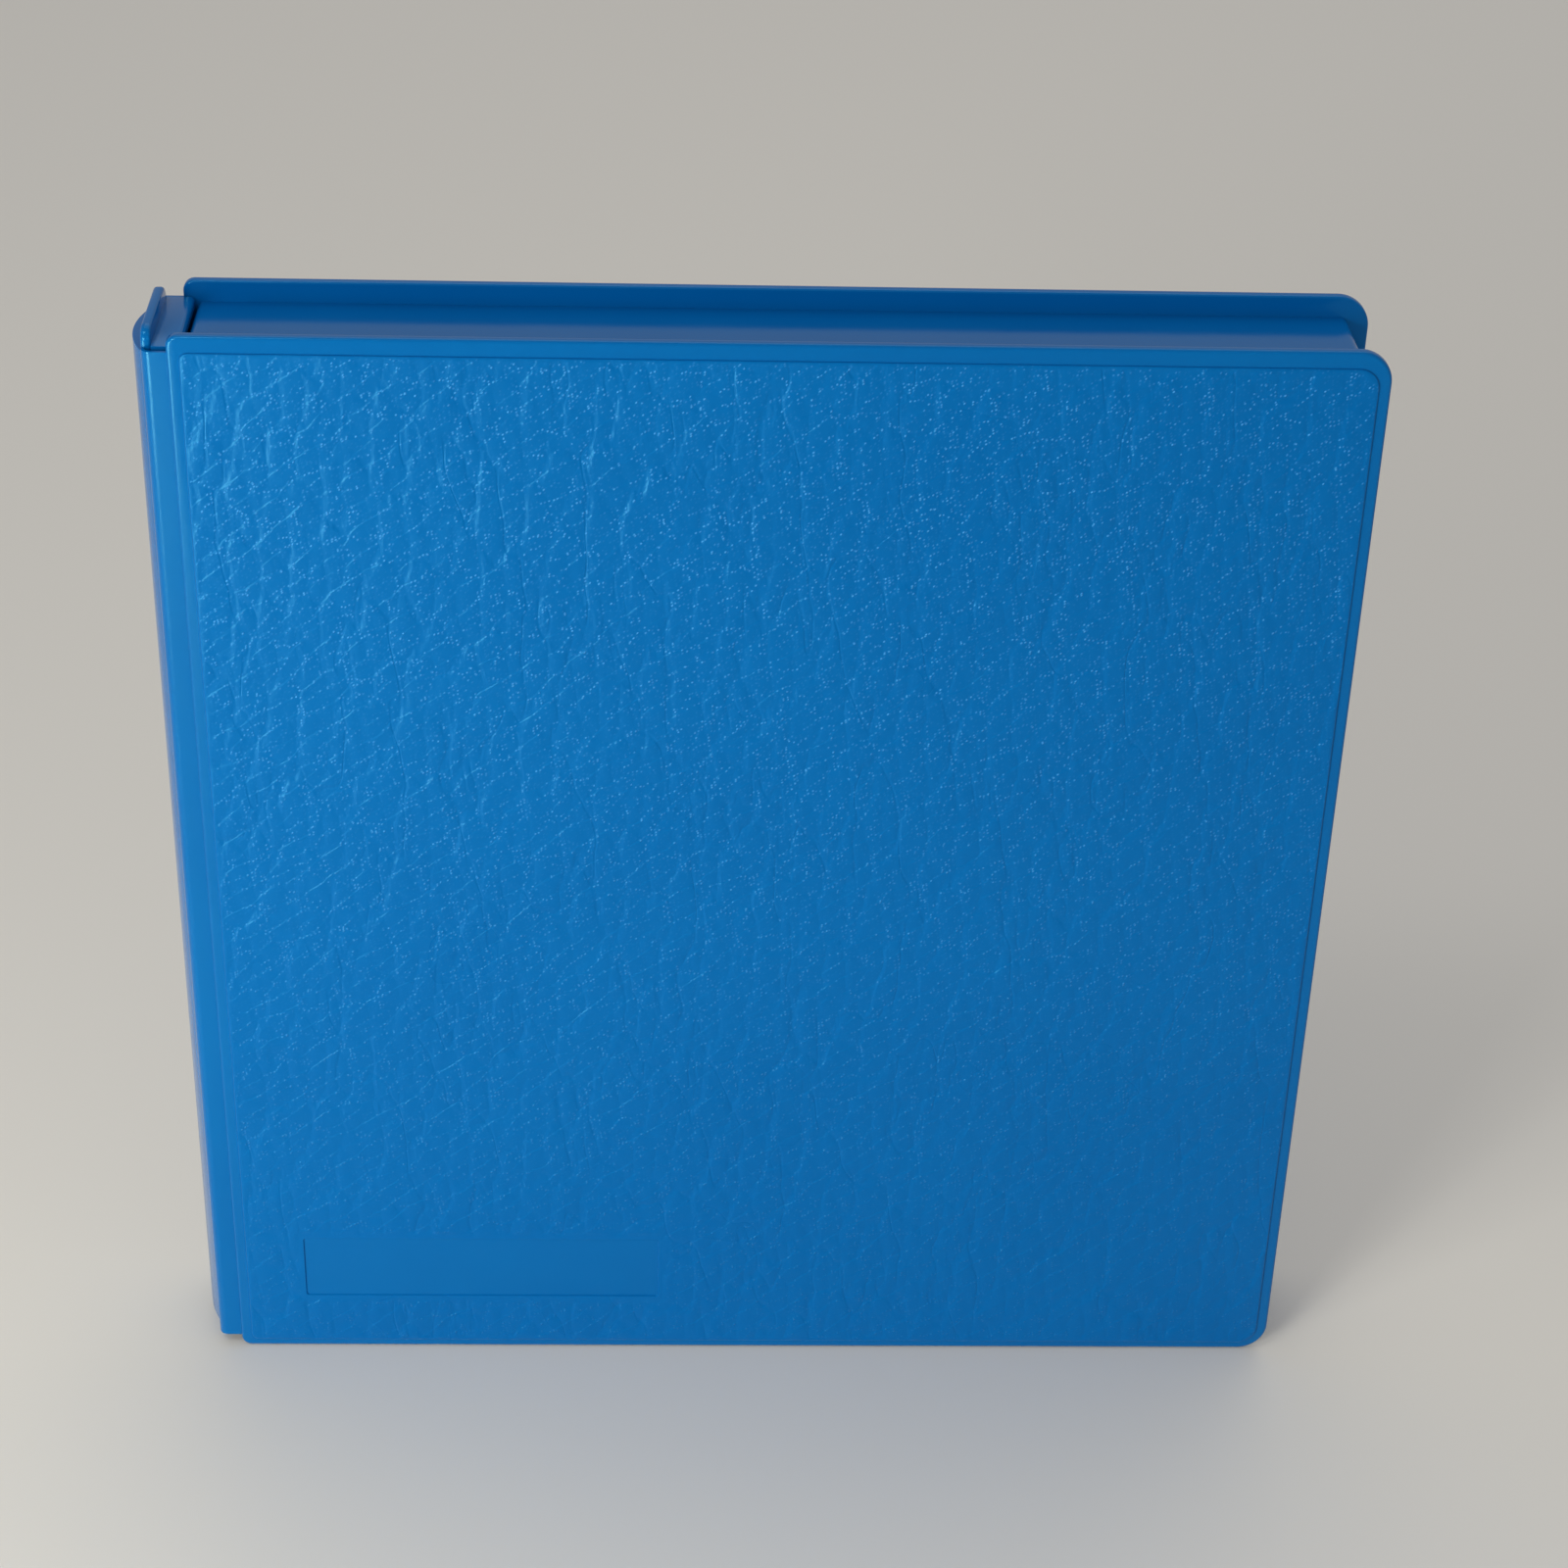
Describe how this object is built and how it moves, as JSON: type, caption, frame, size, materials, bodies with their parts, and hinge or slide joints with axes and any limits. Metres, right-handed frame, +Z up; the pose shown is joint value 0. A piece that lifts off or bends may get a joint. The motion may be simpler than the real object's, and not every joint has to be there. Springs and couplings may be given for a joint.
{
  "type": "floppy disk case",
  "caption": "Book-style hinged plastic case for 8 inch floppy disks: shallow tray on the back cover, spine with two living hinges, grained covers.",
  "frame": {"origin": "midway along the width and the depth, at the surface that the closed case stands on", "axes": "+X from the spine to the fore edge, +Y from the front cover to the back cover, +Z up along the spine"},
  "size_m": [0.239, 0.0294, 0.246],
  "materials": {
    "smooth_polypropylene": "moulded, semi-gloss",
    "grained_polypropylene": "moulded leather grain"
  },
  "bodies": {
    "back": {"back_cover": "smooth_polypropylene", "back_grain_field": "grained_polypropylene", "tray_top_wall": "smooth_polypropylene", "tray_bottom_wall": "smooth_polypropylene", "tray_spine_wall": "smooth_polypropylene", "tray_fore_edge_wall": "smooth_polypropylene", "back_hinge_web": "smooth_polypropylene"},
    "spine": {"spine_plate": "smooth_polypropylene", "spine_bow": "smooth_polypropylene", "spine_top_wall": "smooth_polypropylene", "spine_bottom_wall": "smooth_polypropylene", "front_hinge_web": "smooth_polypropylene"},
    "front": {"front_cover": "smooth_polypropylene", "front_grain_field": "grained_polypropylene", "front_top_lip": "smooth_polypropylene", "front_bottom_lip": "smooth_polypropylene", "front_fore_edge_lip": "smooth_polypropylene", "lower_catch_bead": "smooth_polypropylene", "upper_catch_bead": "smooth_polypropylene"}
  },
  "joints": [
    {"name": "spine_hinge", "type": "hinge", "parent": "back", "child": "spine", "pos_m": [-0.11595, 0.0126, 0.123], "axis": [0, 0, -1], "range_deg": [0, 90], "deforming": ["back_hinge_web"]},
    {"name": "cover_hinge", "type": "hinge", "parent": "spine", "child": "front", "pos_m": [-0.11595, -0.0126, 0.123], "axis": [0, 0, -1], "range_deg": [0, 90], "deforming": ["front_hinge_web"]}
  ]
}
